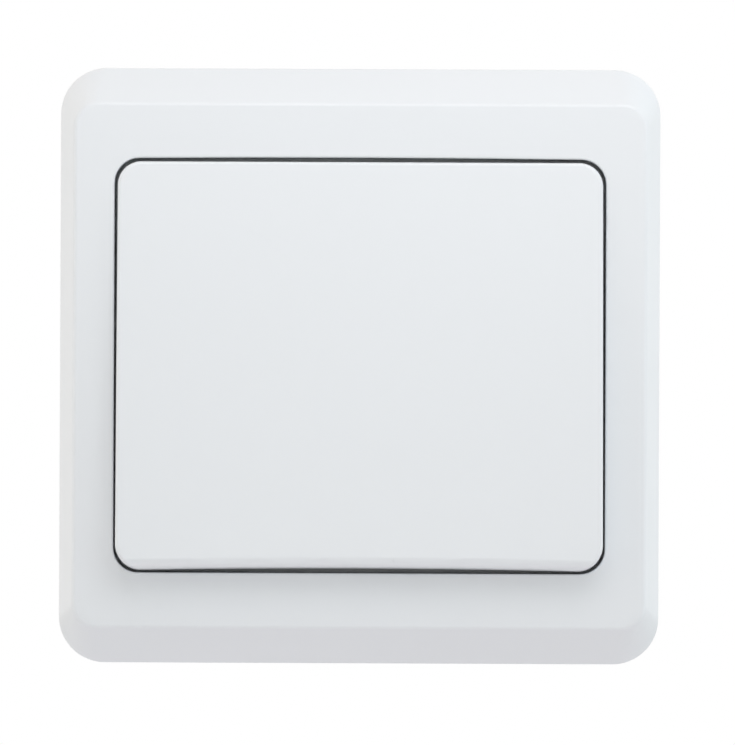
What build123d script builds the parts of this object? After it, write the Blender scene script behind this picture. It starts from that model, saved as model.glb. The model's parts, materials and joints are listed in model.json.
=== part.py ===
from build123d import *
import math
import os

# Flush wall switch, one gang, for a 60 mm box. Sizes in millimetres.
# Pieces are modelled in front view: x to the right, y up, z out of the wall towards the user.
# The wall plane is z = 0. The last step turns them so that up is +Z and the front faces -Y.

os.makedirs("parts", exist_ok=True)

# Cover frame: a straight rim, sides that lean in to a flat land, and the opening for the key
FRAME_W, FRAME_H, FRAME_R = 82.0, 81.3, 6.3
RIM_Z = 4.0
SLOPE_X, SLOPE_Y = 2.15, 5.1
LAND_X, LAND_Y, LAND_R = 5.5, 7.45, 3.2
LAND_EDGE, RIM_EDGE, OPENING_EDGE, OPENING_BOW = 0.7, 0.8, 0.25, 0.18
WALL, FACE_WALL, RECESS_WALL = 2.0, 1.5, 1.5
WEB_Z0, WEB_Z1 = 3.6, 5.2
RIB_T, RIB_Z = 1.0, 1.6
RIB_X, RIB_Y = (-27, -9, 9, 27), (-18, 0, 18)
WINDOW_GAP_X, WINDOW_GAP_Y = 1.2, 1.0

# Rocker key, with depths counted from its pivot
KEY_GAP_X, KEY_GAP_Y, KEY_R = 0.45, 0.5, 3.2
KEY_HOLLOW, KEY_DROP = 0.38, 0.13
KEY_FRONT, KEY_PLATE, KEY_SKIRT = 4.0, 1.8, 5.6
KEY_WALL, KEY_DRAFT, KEY_EDGE, KEY_ROLL = 1.5, 1.0, 0.5, 1.5
KEY_RIB_T, KEY_RIB_X, KEY_RIB_Y = 0.8, (18.5, 24.0), (13.0, 20.0)
KEY_LEG, LEG_W, LEG_T, LEG_Z = (9.0, 6.5), 3.0, 1.2, 1.2
BARB_OUT, BARB_Z, LEG_GAP = 0.65, 0.25, 0.2
TILT = 4.5
TRUNNION_R = 1.5

# Support plate and wall box
PLATE_T, JOGGLE = 1.0, 0.6
BOX_SCREW_PITCH, SLOT_W, SLOT_L = 60.0, 3.6, 7.0
COVER_SCREW = (27.0, 12.0)
COVER_SCREW_R, COVER_HEAD_R, COVER_HEAD_T, COVER_SCREW_L = 1.45, 2.72, 1.25, 6.65
BOSS_R, BOSS_GAP, SINK_R, SINK_T = 3.2, 0.2, 2.95, 1.3
RIVET_R, RIVET_HEAD_R, RIVET_HEAD_T = 1.0, 1.8, 0.7

# Mechanism housing: a flange behind the plate, a narrower body, a collar and two bearing towers
BODY_W, BODY_DEPTH, BODY_R = 42.0, 26.0, 6.0
FLANGE_T = 4.5
CORE_W, CORE_R = 21.0, 3.0
COLLAR_W, COLLAR_Z, COLLAR_WALL, COLLAR_R = 33.6, 4.6, 1.2, 2.0
TOWER_T, TOWER_HALF, TOWER_GAP = 3.3, 4.0, 0.3
CHAMBER_X, REAR_WALL = 7.0, 3.3
COVER_T = 1.38

# Tumbler
PLATFORM_X, PLATFORM_Y, PLATFORM_Z = 12.8, 9.0, 0.4
CHEEK_T, CHEEK_R = 1.6, 3.2
STEM_HALF = 3.2

# Contacts and terminals
LEVER_HALF, LEVER_W, LEVER_T, LEVER_SWING = 11.4, 5.0, 1.0, 8.5
LEVER_UNDER = 0.6
WIRE_R, SCREW_R, HEAD_R, HEAD_T = 1.5, 1.2, 2.3, 1.6
BLOCK_X, BLOCK_Y, BLOCK_T = 4.5, 4.0, 7.7
BLOCK_GAP, LEDGE = 0.2, 0.3
STRIP_T, TIP_R, TIP_DOME, TIP_RISE, TIP_GAP = 0.8, 1.5, 3.0, 0.9, 0.1
PIN_R, EAR_R, EAR_T, EAR_X = 0.7, 1.8, 1.0, 3.3
PLUNGER_R, PLUNGER_TIP_R, PLUNGER_L = 1.6, 1.2, 6.3
SPRING_L, SPRING_R, SPRING_WIRE, SPRING_TURNS = 7.0, 1.2, 0.2, 4.0
RUN = 0.05

# Sizes that follow from the ones above
LAND_W, LAND_H = FRAME_W - 2 * SLOPE_X, FRAME_H - 2 * SLOPE_Y
OPENING_W, OPENING_H, OPENING_R = LAND_W - 2 * LAND_X, LAND_H - 2 * LAND_Y, KEY_R + 0.2
KEY_W, KEY_H = OPENING_W - 2 * KEY_GAP_X, OPENING_H - 2 * KEY_GAP_Y
PLATE_SIDE = FRAME_H - 10.3
# the pivot lies so high that the pressed end of the skirt stays clear of the recess floor
SIN_TILT = math.sin(math.radians(TILT))
AXIS_Z = round(WEB_Z1 + KEY_SKIRT - KEY_FRONT + KEY_H / 2 * SIN_TILT + 0.45, 1)
LAND_Z, TOWER_TOP = AXIS_Z + 1.6, AXIS_Z + 1.2
WIRE_Y = LEVER_HALF + 4.0
BODY_H = 2 * (WIRE_Y + 7.1)
COLLAR_H = BODY_H - 3
RIVET = (COLLAR_W / 2 + 2.5, 14.0)
TOWER_X = PLATFORM_X + TOWER_GAP
CHAMBER_Y, TIP_Y = LEVER_HALF + 1.1, LEVER_HALF - 1.5
WELL_Z = REAR_WALL - BODY_DEPTH
BLOCK_Z0 = WELL_Z + BLOCK_GAP
BLOCK_Z1 = BLOCK_Z0 + BLOCK_T
FLOOR_Z, SCREW_Z = BLOCK_Z1 - STRIP_T - 0.1, BLOCK_Z0 + 4.0
LEVER_Z = BLOCK_Z1 + 2.8
LEVER_TOP = LEVER_UNDER + LEVER_T
PLUNGER_REACH = AXIS_Z - LEVER_Z - LEVER_TOP - 0.08 - PLUNGER_TIP_R
STEM_END = 3.62 - PLUNGER_REACH
SPRING_Z = PLUNGER_L + 1.72 - PLUNGER_REACH
# the three terminals, by the side of the middle that they are on
COMMON, UPPER, LOWER = 0, 1, -1


def box(x0, x1, y0, y1, z0, z1):
    return Pos((x0 + x1) / 2, (y0 + y1) / 2, (z0 + z1) / 2) * Box(x1 - x0, y1 - y0, z1 - z0)


def rod(r, p, direction, length):
    """Cylinder that starts at p and runs along direction."""
    return extrude(Plane(origin=p, z_dir=direction) * Circle(r), length)


def cone(r0, r1, p, direction, length):
    """Cone frustum that starts at p with radius r0 and ends with radius r1."""
    start = Plane(origin=p, z_dir=direction)
    return loft([start * Circle(r0), start.offset(length) * Circle(r1)])


def rounded(w, h, r, z):
    return Pos(0, 0, z) * RectangleRounded(w, h, r)


def slab(w, h, r, z0, z1):
    return extrude(rounded(w, h, r, z0), z1 - z0)


def outline(half_w, half_h, r, top_bow=0.0, bottom_bow=0.0):
    """Rounded rectangle whose top and bottom edges can bow upwards in the middle."""
    tl, tr = (-half_w, half_h), (half_w, half_h)
    bl, br = (-half_w, -half_h), (half_w, -half_h)
    top = ThreePointArc(tl, (0, half_h + top_bow), tr) if top_bow else Line(tl, tr)
    bottom = ThreePointArc(br, (0, bottom_bow - half_h), bl) if bottom_bow else Line(br, bl)
    face = make_face(Curve() + [Line(bl, tl), top, Line(tr, br), bottom])
    return fillet(face.vertices(), r)


def save(name, shape):
    """Turn a piece from front view into the shared frame and write it."""
    solids = [s for s in (Plane.XZ * shape).solids()]
    export_step(solids[0] if len(solids) == 1 else Compound(solids), f"parts/{name}.step")


def tilted(shape):
    """Place a piece modelled round the rocker's axis, upper edge pressed in."""
    return Pos(0, 0, AXIS_Z) * Rot(-TILT, 0, 0) * shape


def swung(shape):
    """Place a piece modelled round the contact lever's axis, lower contact closed."""
    return Pos(0, 0, LEVER_Z) * Rot(LEVER_SWING, 0, 0) * shape


def make_frame():
    land = rounded(LAND_W, LAND_H, LAND_R, LAND_Z)
    shell = slab(FRAME_W, FRAME_H, FRAME_R, 0, RIM_Z)
    shell += loft([rounded(FRAME_W, FRAME_H, FRAME_R, RIM_Z), land], ruled=True)
    # softened front edges: round the land and along the top of the rim
    shell = fillet(shell.faces().sort_by(Axis.Z)[-1].edges(), LAND_EDGE)
    rim_edges = [e for e in shell.edges() if abs(e.center().Z - RIM_Z) < 0.01 and e.bounding_box().size.Z < 0.01]
    shell = fillet(rim_edges, RIM_EDGE)

    # hollow back, then the recess wall and floor inside it
    inner_w, inner_h, inner_r = FRAME_W - 2 * WALL, FRAME_H - 2.45 * WALL, FRAME_R - WALL - 0.3
    hollow = slab(inner_w, inner_h, inner_r, -1, RIM_Z)
    hollow += loft([rounded(inner_w, inner_h, inner_r, RIM_Z),
                    rounded(LAND_W - 2 * FACE_WALL, LAND_H - 1.4 * FACE_WALL, LAND_R - 1.6, LAND_Z - WALL)], ruled=True)
    recess = slab(OPENING_W + 2 * RECESS_WALL, OPENING_H + 2 * RECESS_WALL, OPENING_R + RECESS_WALL, WEB_Z0, LAND_Z - 1)
    body = shell - (hollow - recess)

    # ribs that tie the recess wall to the outer wall
    ribs, rib_top = Part(), LAND_Z - 1.5
    for x in RIB_X:
        across = box(x - RIB_T / 2, x + RIB_T / 2, 1 - FRAME_H / 2, FRAME_H / 2 - 1, RIB_Z, rib_top)
        ribs += across - box(x - RIB_T, x + RIB_T, -OPENING_H / 2 - 1, OPENING_H / 2 + 1, 0, LAND_Z)
    for y in RIB_Y:
        along = box(1 - FRAME_W / 2, FRAME_W / 2 - 1, y - RIB_T / 2, y + RIB_T / 2, RIB_Z, rib_top)
        ribs += along - box(-OPENING_W / 2 - 1, OPENING_W / 2 + 1, y - RIB_T, y + RIB_T, 0, LAND_Z)
    body += ribs & (slab(FRAME_W - 1, FRAME_H - 1, FRAME_R - 1.3, 0, RIM_Z)
                    + loft([rounded(FRAME_W - 1, FRAME_H - 1, FRAME_R - 1.3, RIM_Z),
                            rounded(LAND_W - 1.7, LAND_H - 1.6, LAND_R - 0.6, LAND_Z - 1)], ruled=True))

    # opening with a slightly bowed upper edge, and the window over the housing's collar
    opening = outline(OPENING_W / 2, OPENING_H / 2, OPENING_R, top_bow=OPENING_BOW)
    body -= extrude(Pos(0, 0, WEB_Z1) * opening, 10)
    lip = body.edges().filter_by(lambda e: abs(e.center().Z - LAND_Z) < 0.01 and e.bounding_box().size.Z < 0.01)
    inner = [e for e in lip if abs(e.center().X) < OPENING_W / 2 + 0.5 and abs(e.center().Y) < OPENING_H / 2 + 0.5]
    body = fillet(inner, OPENING_EDGE)
    body -= slab(COLLAR_W + 2 * WINDOW_GAP_X, COLLAR_H + 2 * WINDOW_GAP_Y, COLLAR_R, 0, WEB_Z1 + 2.8)

    # two screw bosses that reach the support plate, with countersunk holes
    for side in (1, -1):
        x, y = side * COVER_SCREW[0], side * COVER_SCREW[1]
        body += rod(BOSS_R, (x, y, PLATE_T + 0.02), (0, 0, 1), WEB_Z0 + 0.4 - PLATE_T)
        body -= rod(COVER_SCREW_R + BOSS_GAP, (x, y, 0), (0, 0, 1), LAND_Z)
        body -= cone(COVER_SCREW_R + BOSS_GAP, SINK_R, (x, y, WEB_Z1 - SINK_T), (0, 0, 1), SINK_T)
    return body


def make_key():
    draft = KEY_SKIRT * math.tan(math.radians(KEY_DRAFT))
    front = outline(KEY_W / 2, KEY_H / 2, KEY_R, bottom_bow=KEY_HOLLOW)
    back = outline(KEY_W / 2 + draft, KEY_H / 2 + draft, KEY_R + draft, bottom_bow=KEY_HOLLOW)
    z0 = KEY_FRONT - KEY_SKIRT
    key = loft([Pos(0, 0, z0) * back, Pos(0, 0, KEY_FRONT) * front], ruled=True)
    key = fillet(key.faces().sort_by(Axis.Z)[-1].edges(), KEY_EDGE)

    # rolled lower edge: the corner is cut back to a larger radius along the hollow edge
    edge_y = KEY_HOLLOW - KEY_H / 2
    centre_y = edge_y - (KEY_W / 2) ** 2 / (2 * KEY_HOLLOW)
    a, b = (edge_y + KEY_ROLL, KEY_FRONT), (edge_y - 0.03, KEY_FRONT - KEY_ROLL)
    mid = (edge_y + KEY_ROLL * 0.27, KEY_FRONT - KEY_ROLL * 0.27)
    outside, above = edge_y - 2, KEY_FRONT + 1
    corner = make_face(Curve() + [ThreePointArc(a, mid, b), Line(b, (outside, b[1])),
                                  Line((outside, b[1]), (outside, above)),
                                  Line((outside, above), (a[0], above)), Line((a[0], above), a)])
    swept = 2 * math.degrees(math.asin((KEY_W / 2 + 2) / (KEY_W / 2) ** 2 * 2 * KEY_HOLLOW))
    section = Plane(origin=(0, 0, 0), x_dir=(0, 1, 0), z_dir=(1, 0, 0)) * corner
    far_axis = Axis((0, centre_y, 0), (0, 0, 1))
    section = section.rotate(far_axis, -swept / 2)
    key -= revolve(section, far_axis, swept)

    # hollow underside with stiffening ribs
    inside_w, inside_h = KEY_W / 2 - KEY_WALL, KEY_H / 2 - KEY_WALL
    hollow_face = outline(inside_w, inside_h, KEY_R - 1.2, bottom_bow=KEY_HOLLOW)
    under = KEY_FRONT - KEY_PLATE
    key -= extrude(Pos(0, 0, z0 - 1) * hollow_face, under - z0 + 1)
    ribs, half_t = Part(), KEY_RIB_T / 2
    for s in (-1, 1):
        for x in KEY_RIB_X:
            ribs += box(s * x - half_t, s * x + half_t, -inside_h - 0.5, inside_h + 0.5, 0.2, under)
        for y in KEY_RIB_Y:
            ribs += box(-inside_w - 0.5, inside_w + 0.5, s * y - half_t, s * y + half_t, 0.7, under)
    # the cap hangs a little low in its opening
    key = Pos(0, -KEY_DROP, 0) * (key + ribs)

    # four legs with barbs that catch under the tumbler's platform
    for sx in (-1, 1):
        for sy in (-1, 1):
            x, y = sx * KEY_LEG[0], sy * KEY_LEG[1]
            leg = box(x - LEG_W / 2, x + LEG_W / 2, y - LEG_T / 2, y + LEG_T / 2, -LEG_Z, under)
            root = LEG_T / 2 - 0.1
            hook = make_face(Polyline((sy * root, BARB_Z), (sy * (root + BARB_OUT), BARB_Z), (sy * LEG_T / 2, -LEG_Z),
                                      (sy * root, -LEG_Z), (sy * root, BARB_Z)))
            barb = extrude(Plane(origin=(x - LEG_W / 2, y, 0), x_dir=(0, 1, 0), z_dir=(1, 0, 0)) * hook, LEG_W)
            key += leg + barb
    return tilted(key)


def make_tumbler():
    top = KEY_FRONT - KEY_PLATE
    slots = Part()
    for sx in (-1, 1):
        for sy in (-1, 1):
            x, y = sx * KEY_LEG[0], sy * (KEY_LEG[1] + 0.1)
            half_x, half_y = LEG_W / 2 + LEG_GAP, LEG_T / 2 + LEG_GAP + 0.1
            slots += box(x - half_x, x + half_x, y - half_y, y + half_y, 0, top + 1)
    part = slab(2 * PLATFORM_X, 2 * PLATFORM_Y, 1.0, PLATFORM_Z, top) - slots
    # side profile of each cheek: a disc round the trunnion, widened up to the platform
    cheek = Circle(CHEEK_R) + Pos(0, PLATFORM_Z / 2 + 0.2) * Rectangle(2 * CHEEK_R, PLATFORM_Z + 0.4)
    cheek = cheek - Pos(0, top + 2) * Rectangle(4 * CHEEK_R, 4)
    for s in (-1, 1):
        start = Plane(origin=(s * (PLATFORM_X - CHEEK_T), 0, 0), x_dir=(0, s, 0), z_dir=(s, 0, 0))
        part += extrude(start * cheek, CHEEK_T)
        part += rod(TRUNNION_R, (s * (PLATFORM_X - 0.8), 0, 0), (s, 0, 0), TOWER_GAP + TOWER_T + 0.6)
    part += slab(2 * STEM_HALF, 2 * STEM_HALF, 0.6, STEM_END, PLATFORM_Z + 0.6)
    # web that carries the stem's load out to the trunnions
    web = Polyline((-10.8, PLATFORM_Z + 0.1), (10.8, PLATFORM_Z + 0.1), (3, -3.3), (-3, -3.3), close=True)
    part += extrude(Plane(origin=(0, 0.7, 0), x_dir=(1, 0, 0), z_dir=(0, -1, 0)) * make_face(web), 1.4)
    bore_end = SPRING_Z + SPRING_L + 0.5
    return tilted(part - rod(PLUNGER_R + RUN, (0, 0, STEM_END - 0.1), (0, 0, 1), bore_end - STEM_END + 0.1))


def make_plunger():
    tip_z = -PLUNGER_REACH
    # half outline, turned round the plunger's axis
    half = make_face(Curve() + [
        Line((0, tip_z - PLUNGER_TIP_R), (0, SPRING_Z + 1.8)),
        Line((0, SPRING_Z + 1.8), (0.8, SPRING_Z + 1.8)),
        Line((0.8, SPRING_Z + 1.8), (0.8, SPRING_Z)),
        Line((0.8, SPRING_Z), (PLUNGER_R, SPRING_Z)),
        Line((PLUNGER_R, SPRING_Z), (PLUNGER_R, SPRING_Z - PLUNGER_L)),
        Line((PLUNGER_R, SPRING_Z - PLUNGER_L), (PLUNGER_TIP_R, SPRING_Z - PLUNGER_L - 0.6)),
        Line((PLUNGER_TIP_R, SPRING_Z - PLUNGER_L - 0.6), (PLUNGER_TIP_R, tip_z)),
        ThreePointArc((PLUNGER_TIP_R, tip_z),
                      (PLUNGER_TIP_R * math.sin(math.radians(45)), tip_z - PLUNGER_TIP_R * math.cos(math.radians(45))),
                      (0, tip_z - PLUNGER_TIP_R))])
    return tilted(revolve(Plane.XZ * half, Axis.Z))


def make_spring():
    # the coil stands on the plunger's shoulder and ends under the top of the stem's bore
    z0 = SPRING_Z + SPRING_WIRE + RUN
    height = SPRING_L
    path = Pos(0, 0, z0) * Helix(pitch=height / SPRING_TURNS, height=height, radius=SPRING_R)
    wire = Plane(origin=path @ 0, z_dir=path % 0) * RegularPolygon(SPRING_WIRE, 6)
    return tilted(sweep(wire, path=path, is_frenet=True))


def tower_profile():
    """Side outline of a bearing tower with its snap-in seat, y across and z up."""
    face = Pos(0, TOWER_TOP / 2) * Rectangle(2 * TOWER_HALF, TOWER_TOP)
    top = face.vertices().filter_by(lambda v: v.Y > TOWER_TOP - 0.1)
    face = chamfer(top, 1.0)
    face -= Pos(0, AXIS_Z) * Circle(TRUNNION_R + RUN)
    mouth = TOWER_TOP - AXIS_Z + 1
    return face - Pos(0, AXIS_Z + mouth / 2) * Rectangle(2 * TRUNNION_R - 0.4, mouth)


def block_span(which):
    """Lowest and highest y of a terminal block."""
    if which == COMMON:
        return -BLOCK_Y, BLOCK_Y
    return tuple(sorted((which * (WIRE_Y - WIRE_R - 0.7), which * (WIRE_Y + WIRE_R + 2.1))))


def make_housing():
    body = slab(BODY_W, BODY_H, BODY_R, -FLANGE_T, JOGGLE)
    core = slab(CORE_W, BODY_H, CORE_R, -BODY_DEPTH, -FLANGE_T)
    body += chamfer(core.faces().sort_by(Axis.Z)[0].edges(), 0.8)
    body += slab(COLLAR_W, COLLAR_H, COLLAR_R, 0, COLLAR_Z)
    for s in (-1, 1):
        start = Plane(origin=(s * TOWER_X, 0, 0), x_dir=(0, s, 0), z_dir=(s, 0, 0))
        tower = extrude(start * tower_profile(), TOWER_T)
        body += tower

    # seat for the cover, contact chamber, and the slot that the line terminals go in through
    inside = COLLAR_H / 2 - COLLAR_WALL
    body -= box(-TOWER_X + 0.2, TOWER_X - 0.2, -inside, inside, COLLAR_Z - COVER_T - 0.02, COLLAR_Z + 1)
    body -= box(-CHAMBER_X, CHAMBER_X, -CHAMBER_Y, CHAMBER_Y, FLOOR_Z, COLLAR_Z)
    low, high = block_span(LOWER)[0] - BLOCK_GAP, block_span(UPPER)[1] + BLOCK_GAP
    well = BLOCK_X + BLOCK_GAP
    body -= box(-well, well, low, high, FLOOR_Z, COLLAR_Z)
    # a well for each block, open at the back inside a narrow ledge
    for which in (COMMON, UPPER, LOWER):
        y0, y1 = block_span(which)
        body -= box(-well, well, y0 - BLOCK_GAP, y1 + BLOCK_GAP, WELL_Z, FLOOR_Z + 1)
        body -= box(LEDGE - BLOCK_X, BLOCK_X - LEDGE, y0 + LEDGE, y1 - LEDGE, -BODY_DEPTH - 1, WELL_Z + 1)
    # screwdriver tunnels: right side, top and bottom
    body -= rod(HEAD_R + 0.4, (well - 1, 0, SCREW_Z), (1, 0, 0), CORE_W / 2)
    for s in (-1, 1):
        body -= rod(HEAD_R + 0.4, (0, s * (high - 1), SCREW_Z), (0, s, 0), BODY_H / 2)
        # notch for the cover's snap lug, and the rivet holes
        y0, y1 = sorted((s * (inside - 0.8), s * (inside + 0.6)))
        body -= box(-2.6, 2.6, y0, y1, COLLAR_Z - COVER_T - 0.02, COLLAR_Z - 0.5)
        for t in (-1, 1):
            body -= rod(RIVET_R + RUN, (s * RIVET[0], t * RIVET[1], 0.5 - FLANGE_T), (0, 0, 1), 2 * FLANGE_T)
    return body


def make_cover():
    inside = COLLAR_H / 2 - COLLAR_WALL - 0.2
    z0 = COLLAR_Z - COVER_T
    part = slab(2 * (TOWER_X - 0.4), 2 * inside, 1.0, z0, COLLAR_Z)
    # raised rim round the stem's slot
    swing = (AXIS_Z - z0) * SIN_TILT
    slot_x, slot_y = STEM_HALF + 0.6, STEM_HALF + swing + 0.5
    part += box(-slot_x - 1.1, slot_x + 1.1, -slot_y - 1.1, slot_y + 1.1, COLLAR_Z - 0.5, COLLAR_Z + 0.8)
    part -= box(-slot_x, slot_x, -slot_y, slot_y, z0 - 1, COLLAR_Z + 2)
    for s in (-1, 1):
        y0, y1 = sorted((s * (inside - 0.6), s * (inside + 0.6)))
        part += box(-2.2, 2.2, y0, y1, z0, COLLAR_Z - 0.7)
        # shallow grip recess by each lug
        y = s * (inside - 3.1)
        part -= box(-3, 3, y - 0.8, y + 0.8, COLLAR_Z - 0.6, COLLAR_Z + 1)
    return part


def make_support_plate():
    plate = slab(PLATE_SIDE, PLATE_SIDE, 4.0, 0, PLATE_T)
    # centre pressed forwards to seat the housing's shoulder
    plate += extrude(rounded(BODY_W + 4.8, BODY_H + 5, 4, PLATE_T - 0.4), JOGGLE + 0.4, taper=30)
    plate -= extrude(rounded(BODY_W + 2.8, BODY_H + 3, 3, 0), JOGGLE, taper=30)
    plate -= slab(COLLAR_W + 0.4, COLLAR_H + 0.6, 2.2, -1, 3)
    half = BOX_SCREW_PITCH / 2
    for s in (-1, 1):
        plate -= extrude(Pos(s * half, 0, -1) * SlotOverall(SLOT_L, SLOT_W), 3)
        plate -= extrude(Pos(0, s * half, -1) * SlotOverall(SLOT_L, SLOT_W, rotation=90), 3)
        plate -= rod(COVER_SCREW_R + RUN, (s * COVER_SCREW[0], s * COVER_SCREW[1], -1), (0, 0, 1), 3)
        # sighting notches on the plate's middle lines
        plate -= Pos(s * PLATE_SIDE / 2, 0, 0) * Rot(0, 0, 45) * Box(1.6, 1.6, 4)
        plate -= Pos(0, s * PLATE_SIDE / 2, 0) * Rot(0, 0, 45) * Box(1.6, 1.6, 4)
        for t in (-1, 1):
            plate -= rod(RIVET_R + RUN, (s * RIVET[0], t * RIVET[1], -1), (0, 0, 1), 4)
    return plate


def make_rivets():
    rivets = []
    for sx in (-1, 1):
        for sy in (-1, 1):
            x, y = sx * RIVET[0], sy * RIVET[1]
            top = PLATE_T + JOGGLE
            rivet = rod(RIVET_R, (x, y, 0.6 - FLANGE_T), (0, 0, 1), top + FLANGE_T - 0.3)
            rivet += rod(RIVET_HEAD_R, (x, y, top + 0.01), (0, 0, 1), RIVET_HEAD_T)
            rivets.append(rivet)
    return Compound([s for r in rivets for s in r.solids()])


def cross_slot(p, direction, r, depth):
    """Cross recess cutter in a screw head whose face is at p and points along direction."""
    plane = Plane(origin=p, z_dir=direction)
    arms = Rectangle(2 * r, 0.55) + Rectangle(0.55, 2 * r)
    return extrude(plane * arms, -depth, taper=12)


def make_frame_screws():
    screws = []
    for s in (-1, 1):
        x, y = s * COVER_SCREW[0], s * COVER_SCREW[1]
        top = WEB_Z1 - 0.15
        screw = rod(COVER_SCREW_R, (x, y, top - COVER_SCREW_L), (0, 0, 1), COVER_SCREW_L - 0.6)
        screw += cone(COVER_SCREW_R, COVER_HEAD_R, (x, y, top - COVER_HEAD_T), (0, 0, 1), COVER_HEAD_T)
        screw = screw - box(x - 4, x + 4, y - 4, y + 4, top, top + 3)
        screw -= cross_slot((x, y, top), (0, 0, 1), 1.5, 0.9)
        screws.append(chamfer(screw.faces().sort_by(Axis.Z)[0].edges(), 0.4))
    return Compound([s for r in screws for s in r.solids()])


def make_terminal_screw(which):
    """Clamping screw, opened so that its tip leaves the wire bore free."""
    d = Vector(1, 0, 0) if which == COMMON else Vector(0, which, 0)
    axis = Vector(0, which * WIRE_Y, SCREW_Z)
    tip, neck = WIRE_R + 0.25, WIRE_R + 3.75
    end = axis + d * (neck + HEAD_T)
    part = rod(SCREW_R, axis + d * tip, d, neck - tip + 0.3) + rod(HEAD_R, axis + d * neck, d, HEAD_T)
    rims = part.edges().filter_by(GeomType.CIRCLE)
    part = chamfer([e for e in rims if (e.arc_center - end).length < 0.01], 0.25)
    return part - extrude(Plane(origin=end, x_dir=(0, 0, 1), z_dir=d) * Rectangle(6, 0.6), -0.8)


def make_terminal(which):
    """Brass block with its wire bore and screw hole; the line blocks carry a contact strip."""
    y0, y1 = block_span(which)
    part = chamfer(box(-BLOCK_X, BLOCK_X, y0, y1, BLOCK_Z0, BLOCK_Z1).edges(), 0.3)
    if which == COMMON:
        # two ears for the lever's pin
        ear = Circle(EAR_R) + Pos(0, (BLOCK_Z1 - LEVER_Z) / 2 - 0.2) * Rectangle(2 * EAR_R, LEVER_Z - BLOCK_Z1 + 0.4)
        for s in (-1, 1):
            start = Plane(origin=(s * EAR_X, 0, LEVER_Z), x_dir=(0, s, 0), z_dir=(s, 0, 0))
            part += extrude(start * ear, EAR_T)
        part -= rod(PIN_R + 0.02, (-6, 0, LEVER_Z), (1, 0, 0), 12)
    else:
        s0, s1 = sorted((which * (TIP_Y - 2.1), which * (WIRE_Y - 1.4)))
        strip = box(-2.2, 2.2, s0, s1, BLOCK_Z1 - STRIP_T, BLOCK_Z1)
        part += fillet(strip.edges().filter_by(Axis.Z).filter_by(lambda e: abs(e.center().Y) < TIP_Y), 0.8)
    part -= rod(WIRE_R, (0, which * WIRE_Y, BLOCK_Z0 - 1), (0, 0, 1), BLOCK_T + 0.2)
    return part - rod(SCREW_R + RUN, (0, which * WIRE_Y, SCREW_Z), (1, 0, 0) if which == COMMON else (0, which, 0), 6)


def make_lever():
    part = slab(LEVER_W, 2 * LEVER_HALF, 1.2, LEVER_UNDER, LEVER_TOP)
    ear = Circle(1.5) + Pos(0, LEVER_UNDER / 2 + 0.2) * Rectangle(3, LEVER_UNDER + 0.4)
    for s in (-1, 1):
        start = Plane(origin=(s * (LEVER_W / 2 - 0.8), 0, 0), x_dir=(0, s, 0), z_dir=(s, 0, 0))
        part += extrude(start * ear, 0.8)
    return swung(part - rod(PIN_R + RUN, (-LEVER_W, 0, 0), (1, 0, 0), 2 * LEVER_W))


def make_pin():
    # headed at both ends, outside the ears
    outer = EAR_X + EAR_T
    part = rod(PIN_R, (-outer - 0.3, 0, LEVER_Z), (1, 0, 0), 2 * outer + 0.6)
    part += rod(PIN_R + 0.4, (-outer - 0.6, 0, LEVER_Z), (1, 0, 0), 0.5)
    return part + rod(PIN_R + 0.3, (outer + 0.1, 0, LEVER_Z), (1, 0, 0), 0.3)


def make_moving_tips():
    # domed rivets under the lever's ends
    tips = []
    centre = LEVER_UNDER - TIP_RISE + TIP_DOME
    for s in (-1, 1):
        tip = rod(TIP_R, (0, s * TIP_Y, -1), (0, 0, 1), LEVER_UNDER + 1) & (Pos(0, s * TIP_Y, centre) * Sphere(TIP_DOME))
        tips += tip.solids()
    return swung(Compound(tips))


def make_fixed_tip(which):
    # centred under the lowest point of the moving dome, with a small gap between them
    swing = math.radians(LEVER_SWING)
    reach = LEVER_UNDER - TIP_RISE + TIP_DOME
    y = TIP_Y * math.cos(swing) + reach * math.sin(swing)
    dome_z = LEVER_Z - TIP_Y * math.sin(swing) + reach * math.cos(swing) - TIP_DOME
    tip = rod(TIP_R + 0.1, (0, which * y, BLOCK_Z1), (0, 0, 1), dome_z - TIP_GAP - BLOCK_Z1)
    return chamfer(tip.faces().sort_by(Axis.Z)[-1].edges(), 0.15)


save("frame", make_frame())
save("rocker_key", make_key())
save("tumbler", make_tumbler())
save("plunger", make_plunger())
save("plunger_spring", make_spring())
save("mechanism_housing", make_housing())
save("mechanism_cover", make_cover())
save("support_plate", make_support_plate())
save("housing_rivets", make_rivets())
save("frame_screws", make_frame_screws())
for side, which in (("common", COMMON), ("upper", UPPER), ("lower", LOWER)):
    save(f"{side}_terminal", make_terminal(which))
    save(f"{side}_terminal_screw", make_terminal_screw(which))
save("moving_contact", make_lever())
save("moving_contact_tips", make_moving_tips())
save("contact_pivot_pin", make_pin())
save("upper_contact_tip", make_fixed_tip(UPPER))
save("lower_contact_tip", make_fixed_tip(LOWER))
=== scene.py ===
import bpy
import bmesh
import json
import math
from mathutils import Matrix, Vector


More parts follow.
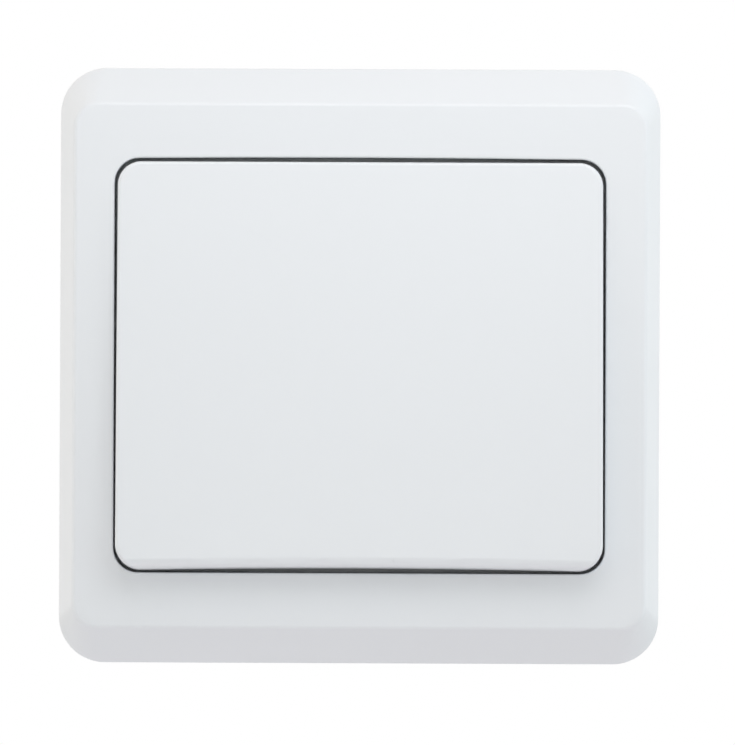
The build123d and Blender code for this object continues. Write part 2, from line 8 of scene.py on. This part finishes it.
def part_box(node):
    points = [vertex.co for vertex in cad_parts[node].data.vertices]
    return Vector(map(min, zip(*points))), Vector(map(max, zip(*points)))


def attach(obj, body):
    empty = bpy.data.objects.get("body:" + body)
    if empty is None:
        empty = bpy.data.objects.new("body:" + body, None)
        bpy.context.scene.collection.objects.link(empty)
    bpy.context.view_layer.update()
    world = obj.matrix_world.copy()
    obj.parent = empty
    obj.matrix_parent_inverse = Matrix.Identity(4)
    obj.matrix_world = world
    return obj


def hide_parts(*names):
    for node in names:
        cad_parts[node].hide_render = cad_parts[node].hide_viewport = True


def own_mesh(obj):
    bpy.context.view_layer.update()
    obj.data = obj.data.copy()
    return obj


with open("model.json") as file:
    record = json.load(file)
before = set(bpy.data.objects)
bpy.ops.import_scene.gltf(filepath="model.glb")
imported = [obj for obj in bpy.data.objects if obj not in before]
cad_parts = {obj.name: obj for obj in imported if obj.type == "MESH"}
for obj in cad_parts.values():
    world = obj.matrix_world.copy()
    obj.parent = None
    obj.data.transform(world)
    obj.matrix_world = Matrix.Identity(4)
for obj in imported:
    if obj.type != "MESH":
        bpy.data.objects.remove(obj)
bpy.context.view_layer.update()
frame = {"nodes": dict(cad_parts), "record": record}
nodes = frame["nodes"]
joints = {joint["name"]: joint for joint in frame["record"]["behaviour"]["joints"]}
slot_of = {part["node"]: part["material_slot"] for part in frame["record"]["subparts"]}
MM = 0.001
RIGHT, UP, DOWN = Vector((1, 0, 0)), Vector((0, 0, 1)), Vector((0, 0, -1))


def put(tree, kind, inputs=(), **settings):
    """Adds a node to a shader or geometry tree, its inputs linked or set by name or number."""
    node = tree.nodes.new(kind)
    for key, value in settings.items():
        setattr(node, key, value)
    for key, value in dict(inputs).items():
        if isinstance(value, bpy.types.NodeSocket):
            tree.links.new(value, node.inputs[key])
        else:
            node.inputs[key].default_value = value
    return node.outputs


# ---- finishes -----------------------------------------------------------------

class Finish:
    """A material under construction: its node tree, its shader and the piece's Object coordinates."""

    def __init__(self, name, colour, rough, metal=0.0):
        self.material = bpy.data.materials.new(name)
        self.material.use_nodes = True
        self.tree = self.material.node_tree
        self.shader = self.tree.nodes["Principled BSDF"]
        uniform = {"Base Color": (*colour, 1), "Roughness": rough, "Metallic": metal, "IOR": 1.5}
        for socket, value in uniform.items():
            self.shader.inputs[socket].default_value = value
        self.at = put(self.tree, "ShaderNodeTexCoord")["Object"]

    def drive(self, socket, output):
        self.tree.links.new(output, self.shader.inputs[socket])

    def drawn_out(self, scale):
        """Coordinates stretched per axis, for brushed or rolled marks."""
        return put(self.tree, "ShaderNodeMapping", {"Scale": scale, "Vector": self.at})["Vector"]

    def noise(self, scale, detail=2.0, rough=0.5, at=None):
        return put(self.tree, "ShaderNodeTexNoise", {
            "Scale": scale, "Detail": detail, "Roughness": rough, "Vector": at or self.at})["Fac"]

    def cells(self, scale):
        return put(self.tree, "ShaderNodeTexVoronoi", {"Scale": scale, "Vector": self.at})["Distance"]

    def spread(self, value, low, high, start=0, end=1):
        """Runs from start to end while value goes from low to high."""
        return put(self.tree, "ShaderNodeMapRange", {
            "From Min": low, "From Max": high, "To Min": start, "To Max": end, "Value": value})["Result"]

    def between(self, factor, first, second):
        """Colour that runs from first to second; either may be another colour output."""
        ends = [end if isinstance(end, bpy.types.NodeSocket) else (*end, 1) for end in (first, second)]
        return put(self.tree, "ShaderNodeMix", {0: factor, 6: ends[0], 7: ends[1]}, data_type="RGBA")[2]

    def worn_edges(self):
        """How near a sharp edge lies, 0 to 1: the normal of an imagined rounding against the real one."""
        rounding, flat, turned_away = 0.25 * MM, 0.985, 0.85
        imagined = put(self.tree, "ShaderNodeBevel", {"Radius": rounding}, samples=4)["Normal"]
        real = put(self.tree, "ShaderNodeNewGeometry")["Normal"]
        alike = put(self.tree, "ShaderNodeVectorMath", {0: imagined, 1: real}, operation="DOT_PRODUCT")
        return self.spread(alike["Value"], flat, turned_away)

    def relief(self, *layers):
        """Chain of bumps, each (height, strength, depth in mm)."""
        under = {}
        for height, strength, depth in layers:
            bump = put(self.tree, "ShaderNodeBump", {
                "Strength": strength, "Distance": depth * MM, "Height": height, **under})
            under = {"Normal": bump["Normal"]}
        self.drive("Normal", under["Normal"])


def shade(colour, factor):
    return tuple(min(1.0, part * factor) for part in colour)


def glossy_cover(name, colour):
    """Polished moulding: faint orange peel, the slow waves of a big flat face and an uneven polish."""
    f = Finish(name, colour, rough=0.32)
    waves = f.noise(24, detail=1.5)
    peel = f.noise(750)
    polish = f.noise(140, detail=3.0, rough=0.6)
    f.drive("Base Color", f.between(f.spread(waves, 0.3, 0.7), shade(colour, 0.997), shade(colour, 1.003)))
    f.drive("Roughness", f.spread(polish, 0.3, 0.7, 0.285, 0.35))
    f.relief((waves, 0.15, 0.25), (peel, 0.02, 0.02))
    return f.material


def grained_moulding(name, colour, grain=2600, rough=0.55):
    """Matt moulding: eroded grain with fine pits, flow marks and rubbed edges."""
    f = Finish(name, colour, rough)
    flow = f.noise(3.0, detail=4.0, rough=0.6, at=f.drawn_out((30, 30, 9)))
    fine = f.noise(grain, detail=3.0, rough=0.65)
    pits = f.cells(grain * 0.6)
    base = f.between(f.spread(flow, 0.3, 0.75), shade(colour, 0.94), shade(colour, 1.04))
    f.drive("Base Color", f.between(f.worn_edges(), base, shade(colour, 1.12)))
    f.drive("Roughness", f.spread(fine, 0.3, 0.7, rough - 0.07, rough + 0.08))
    f.relief((flow, 0.15, 0.3), (fine, 0.35, 0.03), (pits, 0.15, 0.02))
    return f.material


def zinc_sheet(name, colour):
    """Zinc plated sheet: rolling lines, cloudy passivation with a yellow tint, and a few scratches."""
    f = Finish(name, colour, rough=0.38, metal=1.0)
    rolled = f.noise(1.0, detail=5.0, rough=0.7, at=f.drawn_out((60, 900, 1400)))
    cloud = f.noise(70, detail=4.0, rough=0.6)
    tint = f.noise(35)
    scratch = f.noise(1.0, detail=2.0, rough=0.4, at=f.drawn_out((1500, 300, 90)))
    yellowed = (colour[0] * 1.03, colour[1] * 0.98, colour[2] * 0.86)
    base = f.between(f.spread(tint, 0.38, 0.62), colour, yellowed)
    f.drive("Base Color", f.between(f.worn_edges(), base, shade(colour, 1.1)))
    f.drive("Roughness", f.spread(cloud, 0.3, 0.7, 0.29, 0.50))
    f.relief((rolled, 0.18, 0.02), (f.spread(scratch, 0.68, 0.72, 0, -1), 0.3, 0.02))
    return f.material


def turned_metal(name, colour, rough=0.3, tooling=5200):
    """Small metal parts: tool marks, handling stains and bright rubbed edges."""
    f = Finish(name, colour, rough, metal=1.0)
    marks = f.noise(tooling)
    stain = f.noise(420, detail=4.0, rough=0.6)
    base = f.between(f.spread(stain, 0.35, 0.75), colour, shade(colour, 0.72))
    f.drive("Base Color", f.between(f.worn_edges(), base, shade(colour, 1.2)))
    f.drive("Roughness", f.spread(stain, 0.3, 0.7, rough - 0.08, rough + 0.16))
    f.relief((marks, 0.25, 0.01), (stain, 0.1, 0.02))
    return f.material


finishes = {
    "white_gloss": glossy_cover("cover_gloss_white", (0.79, 0.815, 0.835)),
    "white_matte": grained_moulding("tumbler_matt_white", (0.72, 0.73, 0.73)),
    "grey_body": grained_moulding("housing_light_grey", (0.50, 0.51, 0.52)),
    "cover_grey": grained_moulding("inner_cover_grey", (0.36, 0.37, 0.39)),
    "zinc_steel": zinc_sheet("plate_zinc", (0.62, 0.64, 0.66)),
    "screw_steel": turned_metal("screw_zinc", (0.60, 0.61, 0.62)),
    "brass": turned_metal("terminal_brass", (0.72, 0.52, 0.22), rough=0.32, tooling=3600),
    "lever_copper": turned_metal("contact_copper", (0.74, 0.42, 0.26), rough=0.34, tooling=3000),
    "contact_silver": turned_metal("tip_silver", (0.80, 0.80, 0.78), rough=0.22),
    "spring_steel": turned_metal("spring_wire", (0.42, 0.42, 0.44)),
    "plunger_nylon": grained_moulding("plunger_nylon", (0.78, 0.76, 0.69), grain=3000, rough=0.42),
}
for node, thing in nodes.items():
    thing.data.materials.clear()
    thing.data.materials.append(finishes[slot_of[node]])


# ---- mesh helpers -------------------------------------------------------------

def add_object(name, data):
    thing = bpy.data.objects.new(name, data)
    bpy.context.collection.objects.link(thing)
    return thing


def turned(name, outline, segments=40):
    """Solid of revolution round Z from (radius, height) points in mm that begin and end on the axis."""
    form = bmesh.new()
    angles = [math.tau * i / segments for i in range(segments)]
    rings = []
    for radius, height in outline:
        around = angles if radius else [0.0]
        rings.append([form.verts.new((radius * MM * math.cos(angle), radius * MM * math.sin(angle),
                                      height * MM)) for angle in around])
    for low, high in zip(rings, rings[1:]):
        for i in range(segments):
            j = (i + 1) % segments
            corners = [low[i % len(low)], low[j % len(low)], high[j % len(high)], high[i % len(high)]]
            form.faces.new(list(dict.fromkeys(corners)))
    bmesh.ops.recalc_face_normals(form, faces=form.faces)
    mesh = bpy.data.meshes.new(name)
    form.to_mesh(mesh)
    form.free()
    return add_object(name, mesh)


def wedge_bar(name, top_size, floor_size, depth):
    """Cutter for a straight recess below z = 0, smaller at its floor; sizes are (length, width) in mm."""
    clear_above = 0.3
    corners = [(side * length / 2 * MM, end * width / 2 * MM, height * MM)
               for (length, width), height in ((top_size, clear_above), (floor_size, -depth))
               for side, end in ((-1, -1), (1, -1), (1, 1), (-1, 1))]
    sides = [(0, 4, 5, 1), (1, 5, 6, 2), (2, 6, 7, 3), (3, 7, 4, 0)]
    mesh = bpy.data.meshes.new(name)
    mesh.from_pydata(corners, [], [(0, 1, 2, 3), (7, 6, 5, 4), *sides])
    form = bmesh.new()
    form.from_mesh(mesh)
    bmesh.ops.recalc_face_normals(form, faces=form.faces)
    form.to_mesh(mesh)
    form.free()
    return add_object(name, mesh)


def settled(piece):
    """Applies a piece's modifiers and keeps the result as its plain mesh."""
    seen = piece.evaluated_get(bpy.context.evaluated_depsgraph_get())
    mesh = bpy.data.meshes.new_from_object(seen)
    mesh.name = piece.name
    piece.modifiers.clear()
    piece.data = mesh
    return piece


def recessed(piece, *cutters):
    """Cuts the cutters out of a piece, then drops them."""
    for cutter in cutters:
        cut = piece.modifiers.new("recess", "BOOLEAN")
        cut.operation, cut.solver, cut.object = "DIFFERENCE", "EXACT", cutter
    settled(piece)
    for cutter in cutters:
        bpy.data.objects.remove(cutter)
    return piece


def softened(piece, width, sharp=35):
    """Small bevel, width in mm, on edges of more than sharp degrees, then smooth shading between them."""
    bevel = piece.modifiers.new("edge", "BEVEL")
    bevel.width, bevel.segments, bevel.limit_method = width * MM, 2, "ANGLE"
    bevel.angle_limit = math.radians(sharp)
    settled(piece)
    piece.data.shade_smooth()
    piece.data.set_sharp_from_angle(angle=math.radians(sharp))
    return piece


def seamless(node, name, sharp=32):
    """Copy of a CAD node with its triangles merged, so that a rounding shades on into the flat by it."""
    merged = bmesh.new()
    merged.from_mesh(nodes[node].data)
    bmesh.ops.remove_doubles(merged, verts=merged.verts, dist=0.001 * MM)
    merged.verts.index_update()
    mesh = bpy.data.meshes.new(name)
    mesh.from_pydata([vert.co[:] for vert in merged.verts], [],
                     [[vert.index for vert in face.verts] for face in merged.faces])
    merged.free()
    piece = add_object(name, mesh)
    mesh.shade_smooth()
    mesh.set_sharp_from_angle(angle=math.radians(sharp))
    even = piece.modifiers.new("even", "WEIGHTED_NORMAL")
    even.mode, even.weight, even.keep_sharp = "FACE_AREA", 50, True
    return settled(piece)


def moved(piece, matrix):
    piece.data.transform(matrix)
    return piece


def pointing(direction, at, spin=0.0):
    """Matrix that turns +Z to direction and moves the origin to at."""
    turn = direction.to_track_quat("Z", "Y").to_matrix().to_4x4()
    return Matrix.Translation(at) @ turn @ Matrix.Rotation(spin, 4, "Z")


def far_face(node, direction):
    """Middle of the side of a node's box that direction points at."""
    low, high = (Vector(corner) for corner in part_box(node))
    middle, half = (low + high) / 2, (high - low) / 2
    return middle + Vector(part * size for part, size in zip(direction, half))


def stands_for(piece, body, *replaced):
    """Finish, body and node of a piece that takes a CAD node's place."""
    slot = slot_of[replaced[0]]
    piece.data.materials.clear()
    piece.data.materials.append(finishes[slot])
    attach(piece, body)
    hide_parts(*replaced)


# ---- geometry node trees ------------------------------------------------------

def new_tree(name, sockets):
    """Empty tree with named inputs, given as (name, socket kind, value), and those inputs inside it."""
    tree = bpy.data.node_groups.new(name, "GeometryNodeTree")
    for label, kind, value in sockets:
        socket = tree.interface.new_socket(label, in_out="INPUT", socket_type="NodeSocket" + kind)
        if value is not None:
            socket.default_value = value
    tree.interface.new_socket("Mesh", in_out="OUTPUT", socket_type="NodeSocketGeometry")
    return tree, put(tree, "NodeGroupInput")


def close_tree(tree, mesh, finish):
    real = put(tree, "GeometryNodeRealizeInstances", {"Geometry": mesh})
    painted = put(tree, "GeometryNodeSetMaterial", {"Geometry": real["Geometry"], "Material": finish})
    put(tree, "NodeGroupOutput", {"Mesh": painted["Geometry"]})
    return tree


def thread_tree():
    """Winds a ridge round a turned screw and joins the two."""
    tree, given = new_tree("screw_thread", [
        ("Screw", "Geometry", None), ("Turns", "Float", 6.0), ("Core", "Float", 1.0 * MM),
        ("Start", "Float", 0.0), ("Length", "Float", 3.0 * MM), ("Ridge", "Float", 0.2 * MM),
        ("Finish", "Material", None)])
    path = put(tree, "GeometryNodeCurveSpiral", {
        "Resolution": 28, "Rotations": given["Turns"], "Start Radius": given["Core"],
        "End Radius": given["Core"], "Height": given["Length"]})
    profile = put(tree, "GeometryNodeCurvePrimitiveCircle", {"Resolution": 4, "Radius": given["Ridge"]})
    ridge = put(tree, "GeometryNodeCurveToMesh", {
        "Curve": path["Curve"], "Profile Curve": profile["Curve"], "Fill Caps": True})
    lift = put(tree, "ShaderNodeCombineXYZ", {"Z": given["Start"]})
    raised = put(tree, "GeometryNodeTransform", {"Geometry": ridge["Mesh"], "Translation": lift["Vector"]})
    both = put(tree, "GeometryNodeJoinGeometry")
    join = tree.nodes[-1]
    tree.links.new(given["Screw"], join.inputs[0])
    tree.links.new(raised["Geometry"], join.inputs[0])
    return close_tree(tree, both["Geometry"], given["Finish"])


def set_out_tree():
    """Stands a copy of one piece at every vertex of the places, each spun by its own angle."""
    tree, given = new_tree("set_out", [
        ("Places", "Geometry", None), ("Piece", "Object", None), ("Facing", "Rotation", None),
        ("Spin", "Float", math.tau), ("Seed", "Int", 3), ("Finish", "Material", None)])
    piece = put(tree, "GeometryNodeObjectInfo", {"Object": given["Piece"]})
    copies = put(tree, "GeometryNodeInstanceOnPoints", {
        "Points": given["Places"], "Instance": piece["Geometry"], "Rotation": given["Facing"]})
    largest = 3  # the Max socket of a random float
    angle = put(tree, "FunctionNodeRandomValue", {largest: given["Spin"], "Seed": given["Seed"]},
                data_type="FLOAT")
    turn = put(tree, "ShaderNodeCombineXYZ", {"Z": angle[1]})
    spun = put(tree, "GeometryNodeRotateInstances", {
        "Instances": copies["Instances"], "Rotation": turn["Vector"]})
    return close_tree(tree, spun["Instances"], given["Finish"])


def grown(piece, tree, **sizes):
    """Runs a tree on a piece and keeps the result as its mesh."""
    modifier = piece.modifiers.new("grown", "NODES")
    modifier.node_group = tree
    for item in tree.interface.items_tree:
        if item.in_out == "INPUT" and item.name in sizes:
            modifier[item.identifier] = sizes[item.name]
    return settled(piece)


THREAD, SET_OUT = thread_tree(), set_out_tree()
THREAD_TURNS = 6.0
SUNK = 0.02  # how far the thread's ridge begins inside the core, mm


# ---- key and cover frame ------------------------------------------------------

stands_for(seamless("rocker_key", "rocker_key_moulded"), "rocker", "rocker_key")
stands_for(seamless("frame", "cover_frame_moulded"), "base", "frame")


# ---- screws and rivets --------------------------------------------------------
# Outlines run from the tip to the face at z = 0; all their numbers are in mm.

FRAME_SCREW_HEAD = 2.72
RIVET_HEAD = 1.8


def frame_screw():
    """Countersunk screw with a cross recess, face at z = 0 and point downwards."""
    head, core, crest, length = FRAME_SCREW_HEAD, 1.15, 1.45, 6.65
    screw = turned("frame_screw", [
        (0, -length), (core * 0.55, 0.1 - length), (core, 0.6 - length), (core, -1.6), (crest + 0.05, -1.4),
        (head - 0.1, -0.3), (head, -0.12), (head - 0.25, 0.0), (0, 0.0)])
    arms = [wedge_bar(f"arm_{i}", top_size=(3.0, 0.62), floor_size=(1.2, 0.34), depth=1.25) for i in (0, 1)]
    moved(arms[1], Matrix.Rotation(math.pi / 2, 4, "Z"))
    softened(recessed(screw, *arms), 0.05)
    return grown(screw, THREAD, Turns=THREAD_TURNS, Core=(core - SUNK) * MM, Start=(0.55 - length) * MM,
                 Length=(length - 2.5) * MM, Ridge=(crest - core) * MM, Finish=finishes["screw_steel"])


def terminal_screw():
    """Cheese head clamping screw with a straight slot, face at z = 0."""
    head, thick, core, crest, length = 2.3, 1.6, 1.02, 1.2, 5.1
    screw = turned("terminal_screw", [
        (0, -length), (core - 0.3, -length), (core, 0.35 - length), (core, -thick - 0.1),
        (core + 0.1, -thick), (head, -thick), (head, -0.35), (head - 0.1, -0.1), (head - 0.35, 0.0),
        (0, 0.0)])
    slot = wedge_bar("slot", top_size=(6.0, 0.62), floor_size=(6.0, 0.58), depth=0.8)
    softened(recessed(screw, slot), 0.06)
    return grown(screw, THREAD, Turns=THREAD_TURNS, Core=(core - SUNK) * MM, Start=(0.3 - length) * MM,
                 Length=(length - thick - 0.5) * MM, Ridge=(crest - core) * MM,
                 Finish=finishes["screw_steel"])


def housing_rivet():
    """Domed head pressed over the plate, with the set ring that the tool leaves."""
    head, thick, shank, length = RIVET_HEAD, 0.7, 1.0, 6.2
    rivet = turned("housing_rivet", [
        (0, -length), (shank - 0.2, -length), (shank, 0.2 - length), (shank, -thick), (head - 0.02, -thick),
        (head, -0.6), (head - 0.06, -0.48), (1.5, -0.25), (1.1, -0.1), (0.75, -0.05), (0.62, -0.07),
        (0.45, -0.015), (0, 0.0)], segments=32)
    return softened(rivet, 0.03, sharp=50)


def set_out(name, places, piece, node):
    """Copies of a piece at the places, facing the front, stand for a CAD node; the piece itself goes."""
    mesh = bpy.data.meshes.new(name)
    mesh.from_pydata(places, [], [])
    forwards = (math.pi / 2, 0, 0)
    copies = grown(add_object(name, mesh), SET_OUT, Piece=piece, Facing=forwards, Spin=2.6, Seed=5,
                   Finish=finishes[slot_of[node]])
    bpy.data.objects.remove(piece)
    stands_for(copies, "base", node)


def place_frame_screws():
    low, high = (Vector(corner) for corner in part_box("frame_screws"))
    inset = FRAME_SCREW_HEAD * MM
    places = [Vector((high.x - inset, low.y, high.z - inset)),
              Vector((low.x + inset, low.y, low.z + inset))]
    set_out("frame_screws_threaded", places, frame_screw(), "frame_screws")


def place_rivets():
    low, high = (Vector(corner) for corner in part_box("housing_rivets"))
    inset = RIVET_HEAD * MM
    places = [Vector((x, low.y, z)) for x in (low.x + inset, high.x - inset)
              for z in (low.z + inset, high.z - inset)]
    set_out("housing_rivets_domed", places, housing_rivet(), "housing_rivets")


def place_terminal_screws():
    for side, direction, spin in (("common", RIGHT, 0.5), ("upper", UP, 1.2), ("lower", DOWN, 2.3)):
        screw = terminal_screw()
        screw.name = screw.data.name = f"{side}_clamping_screw"
        moved(screw, pointing(direction, far_face(f"{side}_terminal_screw", direction), spin))
        stands_for(screw, "base", f"{side}_terminal_screw")


place_frame_screws()
place_rivets()
place_terminal_screws()


# ---- plunger and spring -------------------------------------------------------

def axis_frame():
    """Pivot point of the rocker and the direction that its plunger slides out of, towards the front."""
    slide = joints["plunger_slide"]
    return Vector(joints["rocker_tilt"]["pos_m"]), Vector(slide["axis"]).normalized()


def place_plunger():
    """Nylon plunger with a polished dome, a drafted body and the peg that centres its spring."""
    reach, shoulder, body, nose, peg = 19.72, 10.5, 1.6, 1.2, 0.8
    neck = shoulder + 6.3
    steps = [math.radians(9 * i) for i in range(1, 10)]
    dome = [(nose * math.sin(angle), -reach + nose - nose * math.cos(angle)) for angle in steps]
    plunger = turned("plunger_domed", [(0, -reach)] + dome + [
        (nose, nose - reach), (nose, -neck - 0.6), (body - 0.1, -neck - 0.06), (body, -neck),
        (body, -shoulder - 0.12), (body - 0.12, -shoulder), (peg + 0.1, -shoulder), (peg, -shoulder + 0.1),
        (peg, -shoulder + 1.5), (peg - 0.3, -shoulder + 1.8), (0, -shoulder + 1.8)], segments=48)
    softened(plunger, 0.04, sharp=40)
    pivot, outwards = axis_frame()
    stands_for(moved(plunger, pointing(outwards, pivot)), "plunger", "plunger")


def place_spring():
    """Compression spring of round wire whose last coils close up on each other."""
    wire, coil, height, turns, foot, stroke = 0.2, 1.2, 7.0, 5.5, -10.25, 1.0
    steps_per_turn, closing = 40, 0.55
    curve = bpy.data.curves.new("plunger_spring_round", "CURVE")
    curve.dimensions, curve.use_fill_caps = "3D", True
    curve.bevel_depth, curve.bevel_resolution = wire * MM, 4
    spline = curve.splines.new("POLY")
    count = int(turns * steps_per_turn)
    spline.points.add(count)
    for i, point in enumerate(spline.points):
        t = i / count
        rise = (3 * t * t - 2 * t ** 3) * closing + t * (1 - closing)
        angle = math.tau * turns * t
        point.co = (coil * MM * math.cos(angle), coil * MM * math.sin(angle),
                    (foot + height * rise) * MM, 1)
    rod = add_object("spring_path", curve)
    mesh = bpy.data.meshes.new_from_object(rod.evaluated_get(bpy.context.evaluated_depsgraph_get()))
    bpy.data.objects.remove(rod)
    mesh.name = "plunger_spring_round"
    mesh.shade_smooth()
    pivot, outwards = axis_frame()
    spring = moved(add_object("plunger_spring_round", mesh), pointing(outwards, pivot))
    stands_for(spring, "rocker", "plunger_spring")
    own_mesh(spring)


place_plunger()
place_spring()


# ---- stage, light and camera, in metres ---------------------------------------

def pale_floor(level, half):
    mat = bpy.data.materials.new("pale_floor")
    mat.use_nodes = True
    shader = mat.node_tree.nodes["Principled BSDF"]
    shader.inputs["Base Color"].default_value = (0.93, 0.935, 0.94, 1)
    shader.inputs["Roughness"].default_value = 0.9
    mesh = bpy.data.meshes.new("floor")
    mesh.from_pydata([(x * half, y * half, level) for x, y in ((-1, -1), (1, -1), (1, 1), (-1, 1))], [],
                     [(0, 1, 2, 3)])
    mesh.materials.append(mat)
    add_object("floor", mesh)


def white_tent(lobes):
    """White to the eye and in reflections; as a light, one soft lobe for each side of the tent."""
    world = bpy.data.worlds.new("studio")
    bpy.context.scene.world = world
    world.use_nodes = True
    tree = world.node_tree
    tree.nodes.clear()
    direction = put(tree, "ShaderNodeTexCoord")["Generated"]
    total = (0, 0, 0)
    for side, colour in lobes:
        facing = put(tree, "ShaderNodeVectorMath", {0: direction, 1: side}, operation="DOT_PRODUCT")
        part = put(tree, "ShaderNodeMath", {0: facing["Value"], 1: 0.0}, operation="MAXIMUM")[0]
        lobe = put(tree, "ShaderNodeVectorMath", {0: colour, "Scale": part}, operation="SCALE")["Vector"]
        total = put(tree, "ShaderNodeVectorMath", {0: total, 1: lobe}, operation="ADD")["Vector"]
    light = put(tree, "ShaderNodeBackground", {"Color": total})
    white = put(tree, "ShaderNodeBackground", {"Color": (1, 1, 1, 1)})
    path = put(tree, "ShaderNodeLightPath")
    seen = path["Is Camera Ray"]
    for kind in ("Is Glossy Ray", "Is Transmission Ray"):
        seen = put(tree, "ShaderNodeMath", {0: seen, 1: path[kind]}, operation="MAXIMUM")[0]
    mixed = put(tree, "ShaderNodeMixShader", {0: seen, 1: light[0], 2: white[0]})
    put(tree, "ShaderNodeOutputWorld", {"Surface": mixed[0]})


def softbox(name, place, size, colour):
    """Rectangular light aimed at the switch; colour is its power in watts per channel."""
    lamp = bpy.data.lights.new(name, "AREA")
    lamp.shape, lamp.size, lamp.size_y = "RECTANGLE", size[0], size[1]
    lamp.energy = max(colour)
    lamp.color = [part / lamp.energy for part in colour]
    thing = add_object(name, lamp)
    thing.location = place
    thing.rotation_euler = (-Vector(place)).to_track_quat("-Z", "Y").to_euler()
    thing.visible_camera = False


def aim_camera(distance, lens, shift, roll):
    """Head on with a long lens; shift, in pixels, and roll, in degrees, give the photograph's framing."""
    photo_height = 745
    eye = bpy.data.cameras.new("eye")
    eye.sensor_width, eye.lens = 36.0, lens
    eye.shift_x, eye.shift_y = shift[0] / photo_height, shift[1] / photo_height
    eye.clip_start, eye.clip_end = 0.05, 20
    viewer = add_object("eye", eye)
    viewer.location = (0, -distance, 0)
    viewer.rotation_euler = (math.radians(90), math.radians(roll), 0)
    bpy.context.scene.camera = viewer


TENT = [  # side that the light comes from, its strength in red, green and blue
    ((-1, 0, 0), (1.38, 1.32, 1.25)),
    ((1, 0, 0), (1.35, 1.43, 1.45)),
    ((0, 1, 0), (0.12, 0.12, 0.12)),
]
LAMPS = [
    ("overhead", (0.04, -0.19, 0.25), (0.30, 0.22), (0.312, 0.287, 0.291)),
    ("overhead_near", (0.03, -0.17, 0.12), (0.20, 0.12), (0.074, 0.080, 0.084)),
    ("left_side", (-0.49, -0.12, 0.0), (0.25, 0.45), (0.21, 0.21, 0.21)),
    ("right_side", (0.49, -0.12, 0.0), (0.25, 0.45), (0.17, 0.17, 0.17)),
    ("face_on", (0.0, -0.70, 0.0), (0.12, 0.12), (0.12, 0.12, 0.12)),
    ("beneath", (0.0, -0.05, -0.27), (0.40, 0.10), (0.115, 0.096, 0.112)),
]
pale_floor(level=-0.3, half=3.0)
white_tent(TENT)
for lamp in LAMPS:
    softbox(*lamp)
aim_camera(distance=0.8, lens=281.2, shift=(7.8, -6.3), roll=-0.25)
bpy.context.scene.view_settings.view_transform = "Standard"
